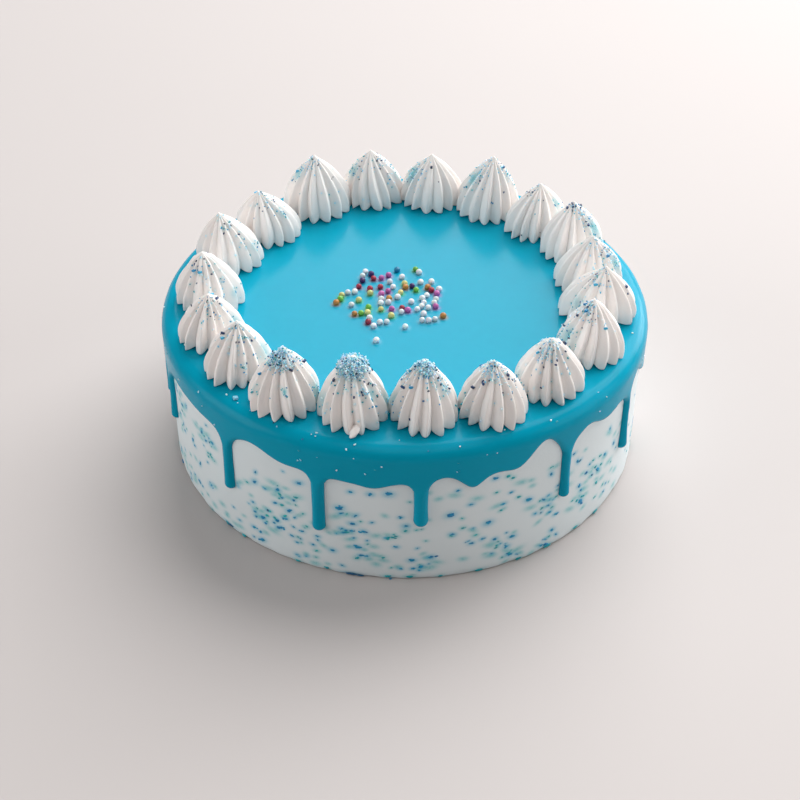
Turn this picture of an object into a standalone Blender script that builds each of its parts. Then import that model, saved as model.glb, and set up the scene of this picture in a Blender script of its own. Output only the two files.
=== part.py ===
"""Round drip cake: white frosted side, poured blue glaze with drips, a ring of piped dollops.

Metres, +Z up. The cake stands on z = 0 with its axis on Z, and its front looks along -Y.
Azimuths are in degrees from the front, anticlockwise seen from above.
"""

import math
import random

import bmesh
import bpy
from mathutils import Matrix, Vector

MM = 0.001
COLLECTION = "drip_cake"
GAP = 0.3 * MM
SIDES = 90

# Frosted cake
CAKE_RADIUS = 90.0 * MM
CAKE_HEIGHT = 59.0 * MM
CAKE_SHOULDER = 4.0 * MM
FOOT_ROUND = 2.4 * MM
ARC_STEPS = 3

# Poured glaze
GLAZE_ON_TOP = 1.5 * MM
GLAZE_ON_SIDE = 1.5 * MM
GLAZE_TOP = CAKE_HEIGHT + GLAZE_ON_TOP
GLAZE_SHOULDER = CAKE_SHOULDER + GLAZE_ON_SIDE
SKIRT_HEIGHT = 46.5 * MM
SKIRT_LIP = 1.1 * MM

# Broad waves of the skirt: azimuth, how far the edge hangs down in mm, half width in degrees
SKIRT_WAVES = (
    (-66, -2.0, 5), (-57, -1.4, 5), (-50, -1.0, 4), (-36, -2.8, 5), (-26, 0.7, 5), (-13, 1.3, 4),
    (-7, 3.2, 4), (-1, 0.7, 3.5), (8.5, -1.2, 3), (14.8, 4.8, 3), (25, 1.3, 3), (32, -7.1, 4),
    (45, -3.7, 4), (57, -1.2, 3), (68, -4.6, 5), (77, 5.0, 4), (110, 3.0, 7), (134, -3.0, 6),
    (175, -4.0, 6), (202, 2.5, 7), (224, -2.5, 6), (262, -3.0, 6),
)

# Web where a drip leaves the skirt: drop of the edge, half width in degrees
DRIP_WEB = (2.6 * MM, 3.6)

# Drips: azimuth, height of the lower end in mm, width in mm, share of the width left above
DRIPS = (
    (-80, 27.5, 3.2, 0.9), (-72.2, 24, 4.0, 0.8), (-43.7, 22, 4.7, 1.0), (-19.4, 20.2, 5.0, 1.0),
    (3.4, 26.4, 5.2, 1.0), (38.5, 22.8, 4.4, 0.95), (62.6, 21, 4.6, 0.7), (92, 24.5, 4.0, 0.9),
    (121, 19.5, 5.0, 1.0), (146, 33, 3.4, 0.8), (163, 22, 4.9, 1.0), (188, 25, 3.8, 0.9),
    (214, 19, 4.6, 0.95), (233, 31, 3.4, 0.8), (252, 23, 4.8, 1.0),
)
DRIP_SIDES = 8
DRIP_RINGS = 6
DRIP_PROUD = 0.45

# Sugar beads in the middle of the top: clusters of x, y, spread in mm and number of beads
BEAD_RADIUS = 1.15 * MM
BEAD_SUNK = 0.25
BEAD_CLUSTERS = (
    (-13.8, 11.5, 1.9, 6), (-19.5, -1.0, 2.6, 8), (-24.0, -4.5, 2.4, 2), (-15.0, -11.5, 2.0, 4),
    (-10.6, -18.5, 1.8, 5), (-6.6, -14.9, 1.4, 2), (-4.0, 9.9, 2.4, 5), (1.0, 15.0, 2.2, 3),
    (3.5, 7.5, 1.9, 3), (-4.5, 3.0, 2.4, 5), (-7.0, -4.0, 2.4, 5), (-0.8, -10.7, 1.7, 3),
    (5.5, -7.5, 2.2, 7), (10.0, -4.5, 1.8, 3), (9.5, 4.5, 3.2, 6), (7.6, -15.5, 1.6, 4),
    (14.2, -14.5, 0.2, 1), (0.0, -21.3, 0.2, 1), (-10.5, -29.2, 0.2, 1),
)
BEAD_SEED = 11

# Piped dollops: azimuth, place in mm out from the ring, height, lean of the peak outwards and
# anticlockwise in mm, and the number of coarse sugar crystals on it
RING_RADIUS = 73.0 * MM
DOLLOP_WIDEST = 12.6 * MM
RIBS = 14
# Grooves between the ribs: depth as a share of the radius, place between one crest and the next
RIB_DEPTH = 0.24
RIB_VALLEY = 0.4
DOLLOP_TWIST = 16
DOLLOP_SEED = 4
DOLLOPS = (
    (-14, 0, 23.5, -1, 0, 7), (5, -0.4, 23, -0.6, 0, 6), (23, 2.6, 21.5, -0.1, 0, 4),
    (42, 1.4, 20.5, 0.6, 0, 4), (62, 1.8, 21.5, -0.3, 1.5, 4), (80.5, -1.2, 21, 2.2, 0, 2),
    (97.5, -2.5, 20.5, 0.5, 0, 2), (116, 0, 21, 0.5, 1.5, 3), (132.5, -1.6, 20.5, 0.6, -1, 1),
    (151.8, -2, 24.5, 1, -2, 2), (171, -1.5, 21, 0, 0, 2), (190, 0.8, 22, -0.3, 1, 1),
    (208.8, 0.5, 24.5, -0.5, 1, 3), (230.1, -2.8, 20.5, 0.7, 4.4, 1), (249.8, -1.1, 21.5, 3, 1.7, 1),
    (272, 0, 21, 1.5, 0, 2), (291, 1.8, 20, 0.7, 1.5, 2), (308.5, 1.7, 21.5, -0.2, 0.5, 2),
    (327.3, 3.3, 22.5, -0.8, 0, 7),
)
# Side outline of a dollop, foot to neck: share of its height, share of its widest radius
DOLLOP_OUTLINE = ((0.0, 1.0), (0.16, 0.97), (0.40, 0.85), (0.64, 0.57), (0.85, 0.26))
# Coarse sugar crystal, and how far it sinks in as a share of the dollop's radius there
CRYSTAL = (1.5 * MM, 0.9 * MM, 0.8 * MM)
CRYSTAL_SUNK = 0.12


def clear_scene():
    for obj in list(bpy.data.objects):
        bpy.data.objects.remove(obj, do_unlink=True)


def new_collection(name):
    collection = bpy.data.collections.new(name)
    bpy.context.scene.collection.children.link(collection)
    return collection


def food_material(name, colour, roughness):
    material = bpy.data.materials.new(name)
    material.use_nodes = True
    shader = material.node_tree.nodes["Principled BSDF"]
    shader.inputs["Base Color"].default_value = (*colour, 1.0)
    shader.inputs["Roughness"].default_value = roughness
    shader.inputs["Metallic"].default_value = 0.0
    return material


def object_from_bmesh(name, bm, collection):
    mesh = bpy.data.meshes.new(name)
    bm.to_mesh(mesh)
    bm.free()
    obj = bpy.data.objects.new(name, mesh)
    collection.objects.link(obj)
    return obj


def outward(azimuth):
    """Level direction away from the cake's axis."""
    angle = math.radians(azimuth)
    return Vector((math.sin(angle), -math.cos(angle), 0.0))


def shoulder_arc(radius, top, rounding):
    """Quarter round from the flat top to the upright side, as (radius, height) pairs."""
    points = []
    for step in range(ARC_STEPS + 1):
        angle = 0.5 * math.pi * step / ARC_STEPS
        points.append((
            radius - rounding + rounding * math.sin(angle),
            top - rounding + rounding * math.cos(angle),
        ))
    return points


def turned_cake(name, collection, grow=0.0, foot=0.0):
    """The frosted cake as a turned solid, or the same form grown all round."""
    radius = CAKE_RADIUS + grow
    profile = [(0.0, CAKE_HEIGHT + grow)]
    profile += shoulder_arc(radius, CAKE_HEIGHT + grow, CAKE_SHOULDER + grow)
    profile += [(radius, foot + FOOT_ROUND), (radius - 0.5 * FOOT_ROUND, foot), (0.0, foot)]
    bm = bmesh.new()
    points = [bm.verts.new((r, 0.0, z)) for r, z in profile]
    for upper, lower in zip(points, points[1:]):
        bm.edges.new((upper, lower))
    obj = object_from_bmesh(name, bm, collection)
    screw = obj.modifiers.new("turn", "SCREW")
    screw.steps = SIDES
    screw.render_steps = SIDES
    screw.use_merge_vertices = True
    screw.merge_threshold = 0.00001
    return obj


def around(azimuth, centre):
    """Signed angle from one azimuth to another, between -180 and 180 degrees."""
    return (azimuth - centre + 180.0) % 360.0 - 180.0


def skirt_edge(azimuth):
    """Height of the glaze's lower edge, with its broad waves and the webs above the drips."""
    height = SKIRT_HEIGHT
    for centre, hang, half_width in SKIRT_WAVES:
        height -= hang * MM * math.exp(-((around(azimuth, centre) / half_width) ** 2))
    web_drop, web_width = DRIP_WEB
    for centre, _, _, _ in DRIPS:
        height -= web_drop * math.exp(-((around(azimuth, centre) / web_width) ** 2))
    return height


def poured_glaze(collection):
    """The glaze as a closed lump over the cake: flat top, round shoulder and wavy skirt."""
    outer_radius = CAKE_RADIUS + GLAZE_ON_SIDE
    shoulder = shoulder_arc(outer_radius, GLAZE_TOP, GLAZE_SHOULDER)
    bm = bmesh.new()
    rings = [[] for _ in range(len(shoulder) + 3)]
    for side in range(SIDES):
        azimuth = 360.0 * side / SIDES
        edge = skirt_edge(azimuth)
        column = shoulder + [
            (outer_radius, edge + SKIRT_LIP),
            (outer_radius - 0.45 * SKIRT_LIP, edge + 0.15 * SKIRT_LIP),
            (CAKE_RADIUS - 3.0 * MM, edge + SKIRT_LIP),
        ]
        for ring, (radius, height) in zip(rings, column):
            ring.append(bm.verts.new(outward(azimuth) * radius + Vector((0.0, 0.0, height))))
    for upper, lower in zip(rings, rings[1:]):
        for side in range(SIDES):
            after = (side + 1) % SIDES
            bm.faces.new((upper[side], lower[side], lower[after], upper[after]))
    crown = bm.verts.new((0.0, 0.0, GLAZE_TOP))
    root = bm.verts.new((0.0, 0.0, SKIRT_HEIGHT))
    for side in range(SIDES):
        after = (side + 1) % SIDES
        bm.faces.new((crown, rings[0][side], rings[0][after]))
        bm.faces.new((root, rings[-1][after], rings[-1][side]))
    bmesh.ops.recalc_face_normals(bm, faces=bm.faces)
    return object_from_bmesh("drip_glaze", bm, collection)


def drip(azimuth, end_height, width, neck, collection):
    """One drip: a long drop with a rounder lower end, its back half inside the cake."""
    half_width = 0.5 * width * MM
    proud = DRIP_PROUD * width * MM + GAP
    end = end_height * MM + half_width
    rise = skirt_edge(azimuth) + 2.0 * MM - end
    bm = bmesh.new()
    bmesh.ops.create_uvsphere(bm, u_segments=DRIP_SIDES, v_segments=DRIP_RINGS, radius=1.0)
    for vert in bm.verts:
        x, y, z = vert.co
        upper = z > 0.01
        share = neck if upper else 1.0
        vert.co = Vector((
            x * half_width * share,
            y * proud * share,
            z * half_width + (rise if upper else 0.0),
        ))
    place = Matrix.Translation(outward(azimuth) * CAKE_RADIUS + Vector((0.0, 0.0, end)))
    bm.transform(place @ Matrix.Rotation(math.radians(azimuth), 4, "Z"))
    return object_from_bmesh("drip", bm, collection)


def bead_places():
    """Places of the beads on the top, scattered round the cluster centres and kept apart."""
    draw = random.Random(BEAD_SEED)
    places = []
    for x, y, spread, count in BEAD_CLUSTERS:
        placed = 0
        while placed < count:
            spot = Vector((draw.gauss(x, spread) * MM, draw.gauss(y, spread) * MM, 0.0))
            if all((spot - other).length > 2.06 * BEAD_RADIUS for other in places):
                places.append(spot)
                placed += 1
    return places


def bead(place, collection):
    bm = bmesh.new()
    bmesh.ops.create_icosphere(bm, subdivisions=1, radius=BEAD_RADIUS)
    height = GLAZE_TOP + (1.0 - BEAD_SUNK) * BEAD_RADIUS
    turn = Matrix.Rotation(300.0 * place.x / BEAD_RADIUS, 4, "Z")
    bm.transform(Matrix.Translation(place + Vector((0.0, 0.0, height))) @ turn)
    return object_from_bmesh("bead", bm, collection)


def apply_boolean(obj, operation, solver, cutter=None, collection=None):
    """Joins or cuts with a modifier, and keeps its result as the object's mesh."""
    modifier = obj.modifiers.new("join", "BOOLEAN")
    modifier.operation = operation
    modifier.solver = solver
    if collection:
        modifier.operand_type = "COLLECTION"
        modifier.collection = collection
    else:
        modifier.object = cutter
    bpy.context.view_layer.update()
    graph = bpy.context.evaluated_depsgraph_get()
    joined = bpy.data.meshes.new_from_object(obj.evaluated_get(graph))
    obj.modifiers.clear()
    obj.data = joined


def remove_helpers(collection):
    for helper in list(collection.objects):
        bpy.data.objects.remove(helper, do_unlink=True)
    bpy.data.collections.remove(collection)


def make_glaze(parts, material):
    glaze = poured_glaze(parts)
    extras = new_collection("glaze_extras")
    for azimuth, end_height, width, neck in DRIPS:
        drip(azimuth, end_height, width, neck, extras)
    for place in bead_places():
        bead(place, extras)
    apply_boolean(glaze, "UNION", "MANIFOLD", collection=extras)
    remove_helpers(extras)
    cutters = new_collection("cutters")
    cake_form = turned_cake("cake_form", cutters, grow=GAP, foot=-5.0 * MM)
    apply_boolean(glaze, "DIFFERENCE", "MANIFOLD", cutter=cake_form)
    remove_helpers(cutters)
    glaze.data.materials.clear()
    glaze.data.materials.append(material)
    return glaze


def dollop_place(index):
    """Level place of a dollop's centre."""
    azimuth, out = DOLLOPS[index][:2]
    return outward(azimuth) * (RING_RADIUS + out * MM)


def dollop_radius(index):
    """Widest radius of a dollop: up to its neighbours, less half the gap between them."""
    place = dollop_place(index)
    beside = [dollop_place((index + step) % len(DOLLOPS)) for step in (-1, 1)]
    nearest = min((place - other).length for other in beside)
    return min(DOLLOP_WIDEST, 0.5 * (nearest - GAP))


def dollop_spread(rise):
    """Share of the widest radius at a share of the height."""
    outline = DOLLOP_OUTLINE + ((1.0, 0.0),)
    for (low, wide), (high, narrow) in zip(outline, outline[1:]):
        if rise <= high:
            return wide + (narrow - wide) * (rise - low) / (high - low)
    return 0.0


def crystal(place, draw, collection):
    """A coarse sugar crystal, a small block lying at any angle."""
    bm = bmesh.new()
    bmesh.ops.create_cube(bm, size=1.0)
    size = Matrix.Diagonal((*CRYSTAL, 1.0))
    turn = Matrix.Rotation(draw.uniform(0, math.pi), 4, "Z")
    tilt = Matrix.Rotation(draw.uniform(-0.6, 0.6), 4, "X")
    bm.transform(Matrix.Translation(place) @ turn @ tilt @ size)
    return object_from_bmesh("crystal", bm, collection)


def make_dollop(index, parts, material):
    """A ribbed dollop, lofted ring by ring from its foot to its peak, with its crystals.

    It is as wide as its neighbours allow, and fills the ring's full width inwards and outwards.
    """
    azimuth, _, tall, lean_out, lean_round, crystals = DOLLOPS[index]
    draw = random.Random(DOLLOP_SEED + index)
    radius = dollop_radius(index)
    height = tall * MM
    first_rib = draw.uniform(0.0, 2.0 * math.pi / RIBS)
    twist = math.radians(draw.uniform(-DOLLOP_TWIST, DOLLOP_TWIST))
    away = outward(azimuth)
    stretch = DOLLOP_WIDEST / radius - 1.0
    lean = (away * lean_out + outward(azimuth + 90.0) * lean_round) * MM
    centre = dollop_place(index) + Vector((0.0, 0.0, GLAZE_TOP + GAP))

    def surface(rise, rib, inset):
        angle = first_rib + twist * rise + 2.0 * math.pi * rib / RIBS
        reach = radius * dollop_spread(rise) * (1.0 - inset)
        flat = Vector((math.cos(angle), math.sin(angle), 0.0)) * reach
        flat += away * flat.dot(away) * stretch
        return flat + lean * rise**1.5 + Vector((0.0, 0.0, rise * height))

    bm = bmesh.new()
    rings = []
    for rise, _ in DOLLOP_OUTLINE:
        ring = []
        for rib in range(RIBS):
            ring.append(bm.verts.new(surface(rise, rib, 0.0)))
            ring.append(bm.verts.new(surface(rise, rib + RIB_VALLEY, RIB_DEPTH)))
        rings.append(ring)
    peak = bm.verts.new(lean + Vector((0.0, 0.0, height)))
    count = 2 * RIBS
    for lower, upper in zip(rings, rings[1:]):
        for k in range(count):
            after = (k + 1) % count
            bm.faces.new((lower[k], lower[after], upper[after], upper[k]))
    for k in range(count):
        bm.faces.new((rings[-1][k], rings[-1][(k + 1) % count], peak))
    bm.faces.new(list(reversed(rings[0])))
    bmesh.ops.triangulate(bm, faces=bm.faces)
    obj = object_from_bmesh(f"dollop_{index + 1:02d}", bm, parts)
    obj.location = centre

    sugar = new_collection("dollop_sugar")
    for _ in range(crystals):
        rise = draw.uniform(0.6, 0.92)
        spot = surface(rise, draw.randrange(RIBS), CRYSTAL_SUNK)
        crystal(centre + spot, draw, sugar)
    apply_boolean(obj, "UNION", "MANIFOLD", collection=sugar)
    remove_helpers(sugar)
    obj.data.materials.clear()
    obj.data.materials.append(material)
    return obj


def main():
    clear_scene()
    parts = new_collection(COLLECTION)
    cake = turned_cake("cake_body", parts)
    cake.data.materials.append(food_material("white_frosting", (0.86, 0.86, 0.87), 0.6))
    make_glaze(parts, food_material("blue_glaze", (0.01, 0.42, 0.66), 0.15))
    piped = food_material("piped_frosting", (0.9, 0.88, 0.86), 0.55)
    for index in range(len(DOLLOPS)):
        make_dollop(index, parts, piped)


main()
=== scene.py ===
"""Round drip cake, dressed: frosted side, poured blue glaze, sugar beads, piped dollops, sugar.

Metres, +Z up. The cake stands on z = 0 with its axis on Z, and its front looks along -Y.
Azimuths are in degrees from the front, anticlockwise seen from above.
"""

import math
import random

import bmesh
import bpy
import numpy as np
from mathutils import Matrix, Vector, geometry, kdtree, noise


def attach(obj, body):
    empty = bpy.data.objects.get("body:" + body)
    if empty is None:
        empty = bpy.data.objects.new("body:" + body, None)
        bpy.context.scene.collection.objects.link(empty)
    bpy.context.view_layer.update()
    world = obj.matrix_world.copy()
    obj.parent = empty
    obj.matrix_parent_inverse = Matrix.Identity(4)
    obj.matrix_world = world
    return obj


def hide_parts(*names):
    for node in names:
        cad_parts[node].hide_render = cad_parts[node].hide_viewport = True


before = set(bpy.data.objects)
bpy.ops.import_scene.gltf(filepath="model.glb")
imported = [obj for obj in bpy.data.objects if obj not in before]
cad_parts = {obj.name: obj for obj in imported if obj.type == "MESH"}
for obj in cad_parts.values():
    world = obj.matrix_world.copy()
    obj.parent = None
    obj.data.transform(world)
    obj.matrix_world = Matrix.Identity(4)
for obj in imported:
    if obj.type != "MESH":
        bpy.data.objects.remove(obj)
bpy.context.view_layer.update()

# Frosted cake
# Layers of sponge under a coat of white buttercream, drawn smooth with a scraper as the cake
# turned. The coat stays a fraction of a millimetre uneven and is rough where it ends at the foot.
MM = 0.001
CAKE_RADIUS = 90.0 * MM
CAKE_HEIGHT = 59.0 * MM
CAKE_SHOULDER = 4.0 * MM
FOOT_TUCK = 1.2 * MM
FOOT_ROUND = 2.4 * MM
# Unevenness: length of the waves, depth, how much shorter they are upwards, place in the noise
COAT_WAVES = ((18.0 * MM, 0.16 * MM, 1.0, 0.0), (18.0 * MM, 0.08 * MM, 4.0, 7.0))
FOOT_WAVE = (5.0 * MM, 0.45 * MM, 1.0, 3.0)
ROUGH_FOOT = 1.5 * FOOT_ROUND
QUARTER_TURN = 0.5 * math.pi
CORNER_ROWS = 6
TOP_RINGS = (0.7, 0.4, 0.1)
CAKE_SIDES = 900
SIDE_STEP = 0.55 * MM
# Colour of the coat: partly its own cool tint, partly painted blue bounce light that makes the side
# bluer
BUTTERCREAM_WITH_PAINTED_BOUNCE = (0.77, 0.84, 0.86)


def directions(azimuths):
    """Level unit vectors away from the cake's axis, one row for each azimuth."""
    angles = np.radians(np.atleast_1d(azimuths))
    return np.column_stack([np.sin(angles), -np.cos(angles), np.zeros(len(angles))])


def wander(points, size, shift=0.0):
    """Smooth random values between about -1 and 1 that change over the given distance."""
    return np.array([noise.noise(Vector(point) / size + Vector((shift,) * 3)) for point in points])


def lofted(name, rings, start, end):
    """A closed smooth mesh through like rings of points, with a fan of faces at either end."""
    rings = np.asarray(rings)
    count, sides, _ = rings.shape
    points = np.vstack([rings.reshape(-1, 3), [start, end]])
    here = np.arange(sides)
    after = (here + 1) % sides
    faces = []
    for low in range(0, (count - 1) * sides, sides):
        high = low + sides
        faces += np.column_stack([low + here, low + after, high + after, high + here]).tolist()
    first, last, top = count * sides, count * sides + 1, (count - 1) * sides
    faces += [(first, int(b), int(a)) for a, b in zip(here, after)]
    faces += [(last, int(top + a), int(top + b)) for a, b in zip(here, after)]
    return mesh_object(name, points, faces)


def mesh_object(name, points, faces):
    """A smooth mesh in the scene."""
    mesh = bpy.data.meshes.new(name)
    mesh.from_pydata(np.asarray(points).tolist(), [], faces)
    mesh.shade_smooth()
    mesh.update()
    piece = bpy.data.objects.new(name, mesh)
    bpy.context.scene.collection.objects.link(piece)
    return piece


def keep_values(piece, name, values):
    """Stores one number for each point of the mesh, for the material to read."""
    piece.data.attributes.new(name, "FLOAT", "POINT").data.foreach_set("value", np.ravel(values))


def cake_profile():
    """Side outline from the foot up, as (radius, height) pairs."""
    profile = []
    for angle in np.linspace(0.0, QUARTER_TURN, CORNER_ROWS):
        tuck = FOOT_TUCK * (1.0 - math.sin(angle))
        profile.append((CAKE_RADIUS - tuck, FOOT_ROUND * (1.0 - math.cos(angle))))
    shoulder = CAKE_HEIGHT - CAKE_SHOULDER
    rows = round((shoulder - FOOT_ROUND) / SIDE_STEP)
    profile += [(CAKE_RADIUS, z) for z in np.linspace(FOOT_ROUND, shoulder, rows + 1)[1:]]
    for angle in np.linspace(0.0, QUARTER_TURN, CORNER_ROWS + 1)[1:]:
        inward = CAKE_SHOULDER * (1.0 - math.cos(angle))
        profile.append((CAKE_RADIUS - inward, shoulder + CAKE_SHOULDER * math.sin(angle)))
    return profile + [(share * CAKE_RADIUS, CAKE_HEIGHT) for share in TOP_RINGS]


cake_azimuths = np.arange(CAKE_SIDES) * 360.0 / CAKE_SIDES
cake_rings = []
for radius, height in cake_profile():
    ring = directions(cake_azimuths) * radius + np.array((0.0, 0.0, height))
    amounts = 1.0, 1.0, max(0.0, 1.0 - height / ROUGH_FOOT)
    uneven = np.zeros(CAKE_SIDES)
    for amount, (size, depth, squeeze, shift) in zip(amounts, (*COAT_WAVES, FOOT_WAVE)):
        uneven += amount * depth * wander(ring * (1.0, 1.0, squeeze), size, shift)
    cake_rings.append(ring + directions(cake_azimuths) * uneven[:, None])
cake = lofted("frosted_cake", cake_rings, (0.0, 0.0, 0.0), (0.0, 0.0, CAKE_HEIGHT))


def add_node(tree, kind, values=(), **settings):
    """A shader node with its settings, and its inputs set, or linked where a value is a socket."""
    node = tree.nodes.new("ShaderNode" + kind)
    for name, setting in settings.items():
        setattr(node, name, setting)
    for name, value in dict(values).items():
        if isinstance(value, bpy.types.NodeSocket):
            tree.links.new(value, node.inputs[name])
        else:
            node.inputs[name].default_value = value
    return node


def blended(tree, amount, colour, other):
    """Colour socket that goes from one colour to the other by an amount."""
    mix = add_node(tree, "Mix", data_type="RGBA")
    for index, value in ((0, amount), (6, colour), (7, other)):
        if isinstance(value, bpy.types.NodeSocket):
            tree.links.new(value, mix.inputs[index])
        else:
            mix.inputs[index].default_value = value if index == 0 else (*value, 1.0)
    return mix.outputs[2]


def food_material(name, colour, **sockets):
    """A Principled material; the sockets are named in plain words, such as coat_weight."""
    material = bpy.data.materials.new(name)
    material.use_nodes = True
    shader = material.node_tree.nodes["Principled BSDF"]
    shader.inputs["Base Color"].default_value = (*colour, 1.0)
    for words, value in sockets.items():
        title = {"ior": "IOR"}.get(words, words.replace("_", " ").title())
        shader.inputs[title].default_value = value
    return material, material.node_tree, shader


def ranged(tree, value, low, high, start, end):
    """Socket of a value drawn out from the range low to high to the range start to end."""
    return add_node(tree, "MapRange", enumerate((value, low, high, start, end))).outputs[0]


def in_relief(tree, shader, height, depth):
    """Puts a height that the nodes give on a shader, as fine relief."""
    bump = add_node(tree, "Bump", {"Height": height, "Distance": depth})
    tree.links.new(bump.outputs["Normal"], shader.inputs["Normal"])


def effect_group(name, inputs, outputs):
    """A node group for several materials, and its input and output sockets by name."""
    group = bpy.data.node_groups.new(name, "ShaderNodeTree")
    for side, sockets in (("INPUT", inputs), ("OUTPUT", outputs)):
        for title, kind in sockets.items():
            group.interface.new_socket(title, in_out=side, socket_type="NodeSocket" + kind)
    given = group.nodes.new("NodeGroupInput").outputs
    return group, given, group.nodes.new("NodeGroupOutput").inputs


def cream_grain_group():
    """Relief of whipped cream, with fine grain and small air bubbles, and its slow mottle."""
    group, given, result = effect_group(
        "cream_grain", dict.fromkeys(("Grain Size", "Stretch"), "Float"),
        dict.fromkeys(("Height", "Mottle"), "Float"),
    )
    place = add_node(group, "TexCoord").outputs["Object"]
    axes = add_node(group, "CombineXYZ", {"X": 1.0, "Y": 1.0, "Z": given["Stretch"]})
    drawn = add_node(group, "VectorMath", {0: place, 1: axes.outputs[0]}, operation="MULTIPLY")
    scale = add_node(group, "Math", {0: 1.0, 1: given["Grain Size"]}, operation="DIVIDE")
    grain = add_node(
        group, "TexNoise", {"Vector": drawn.outputs[0], "Scale": scale.outputs[0], "Detail": 4.0}
    )
    bubble = add_node(group, "TexVoronoi", {"Vector": place, "Scale": 900.0})
    pit = ranged(group, bubble.outputs["Distance"], 0.0, 0.22, -0.5, 0.0)
    height = add_node(group, "Math", {0: grain.outputs["Fac"], 1: pit}, operation="ADD")
    mottle = add_node(group, "TexNoise", {"Vector": place, "Scale": 60.0, "Detail": 2.0})
    group.links.new(height.outputs[0], result["Height"])
    group.links.new(mottle.outputs["Fac"], result["Mottle"])
    return group


def ragged_stain_group():
    """How strongly a stain shows: the colour that has soaked in, broken up by fine noise."""
    group, given, result = effect_group(
        "ragged_stain", dict.fromkeys(("Soaked", "Fineness", "Weakest", "Strongest"), "Float"),
        {"Amount": "Float"},
    )
    specks = add_node(group, "TexNoise", {"Scale": given["Fineness"], "Detail": 2.0})
    patchy = ranged(group, specks.outputs["Fac"], 0.35, 0.65, given["Weakest"], given["Strongest"])
    amount = add_node(
        group, "Math", {0: given["Soaked"], 1: patchy}, operation="MULTIPLY", use_clamp=True
    )
    group.links.new(amount.outputs[0], result["Amount"])
    return group


cream_grain = cream_grain_group()
ragged_stain = ragged_stain_group()


def grained(tree, shader, grain_size, stretch, depth):
    """Puts the cream's relief on a shader, and returns the slow mottle for its colour."""
    grain = add_node(
        tree, "Group", {"Grain Size": grain_size, "Stretch": stretch}, node_tree=cream_grain
    )
    in_relief(tree, shader, grain.outputs["Height"], depth)
    return grain.outputs["Mottle"]


def stained(tree, shade, stain, tint, fineness, weakest, strongest):
    """Colour socket of a shade with the stain that the mesh keeps under the given name."""
    soaked = add_node(tree, "Attribute", attribute_name=stain).outputs["Fac"]
    ragged = add_node(
        tree, "Group",
        {"Soaked": soaked, "Fineness": fineness, "Weakest": weakest, "Strongest": strongest},
        node_tree=ragged_stain,
    )
    return blended(tree, ragged.outputs["Amount"], shade, tint)


def dress(piece, material, node=None):
    """Gives a piece its material, hangs it under the root body, and hides the plain solid that it
    stands for, if one is named.
    """
    piece.data.materials.append(material)
    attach(piece, "root")
    if node:
        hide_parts(node)


# The coat's base colour holds painted blue bounce light besides its own tint
frosting, tree, shader = food_material(
    "buttercream_coat", BUTTERCREAM_WITH_PAINTED_BOUNCE, roughness=0.55, subsurface_weight=0.12,
    subsurface_scale=0.5 * MM, subsurface_radius=(1.0, 1.0, 1.0), ior=1.4,
)
mottle = grained(tree, shader, 1.6 * MM, 2.5, 0.08 * MM)
shade = blended(tree, mottle, BUTTERCREAM_WITH_PAINTED_BOUNCE, tuple(0.95 * value for value in BUTTERCREAM_WITH_PAINTED_BOUNCE))
for stain, tint in (("teal_stain", (0.0, 0.50, 0.53)), ("blue_stain", (0.0, 0.45, 0.63))):
    shade = stained(tree, shade, stain, tint, 1100.0, 0.35, 1.35)
tree.links.new(shade, shader.inputs["Base Color"])
dress(cake, frosting, "cake_body")

# Blue flecks of the side
# Coloured sugar folded into the buttercream: each chip lies flush in the coat, where the
# scraper smeared it, and its colour has soaked a little way into the cream round it.
FLECK_SEED = 21
FLECK_PROUD = 0.1 * MM
FLECK_KINDS = ("smear", "teal", "blue", "navy")
HIGHEST_FLECK = 46 * MM
# Single large chips on the front: azimuth, height in mm, length in mm, slope in degrees
LARGE_CHIPS = (
    (-66, 28, 2.0, 70), (-62, 41, 2.4, 60), (-60, 27, 2.0, 70), (-52.2, 14, 3.6, 35),
    (-57, 19, 2.2, 60), (-36, 31.3, 3.0, 40), (-35.5, 36, 1.6, 60), (-29.6, 32.3, 2.4, 30),
    (-26.9, 24.2, 2.8, 30), (-30.5, 25.5, 2.0, 20), (-24, 39, 3.4, 20), (-34.3, 15.6, 3.0, 15),
    (-30, 14, 2.6, 15), (-20, 16, 1.8, 10), (-14.6, 31.7, 3.4, 5), (-11.7, 25.4, 3.0, 0),
    (-9.2, 22.3, 2.8, -15), (-10.7, 14.5, 3.6, 0), (-16.5, 11, 2.4, 0), (-7.6, 40, 2.4, 0),
    (-3.6, 40.6, 3.6, 0), (-12, 40, 2.0, 10), (-35, 4, 3.0, 20), (-1.0, 30, 1.6, 0),
    (0.2, 26, 2.8, 0), (1.5, 9.5, 2.8, 0), (3.5, 6.2, 2.6, 20), (5.6, 10.6, 3.2, 0),
    (-2, 16, 1.8, 0), (10, 29.9, 3.6, 10), (14.5, 33.5, 2.2, 0), (18.7, 23.1, 3.4, 0),
    (15, 15, 2.0, 0), (20, 43, 2.2, 0), (28.6, 28.3, 3.2, -20), (24.3, 4.9, 3.2, -15),
    (24.9, 13.2, 3.0, -10), (32.9, 25.2, 2.6, -30), (20.5, 14.5, 2.0, 0), (42.7, 34.9, 2.4, -60),
    (45.1, 13.6, 3.4, -50), (51.2, 22.8, 3.2, -50), (34.5, 36, 2.2, -50), (55, 38, 2.0, -60),
    (36, 8, 2.4, -20), (58, 28, 2.6, -60),
)
# Marks along the foot: azimuth and length in mm
FOOT_MARKS = (
    (-53, 2.6), (-46, 6.0), (-41, 3.0), (-25.3, 3.0), (-18, 2.0), (-12.3, 6.5), (-4, 3.0), (1, 3.6),
    (8, 2.4), (17, 4.0), (27, 3.0), (35, 5.0), (44, 3.0), (52, 4.0), (80, 5.0), (110, 4.0),
    (150, 6.0), (205, 5.0), (250, 4.0), (280, 5.0),
)
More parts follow.
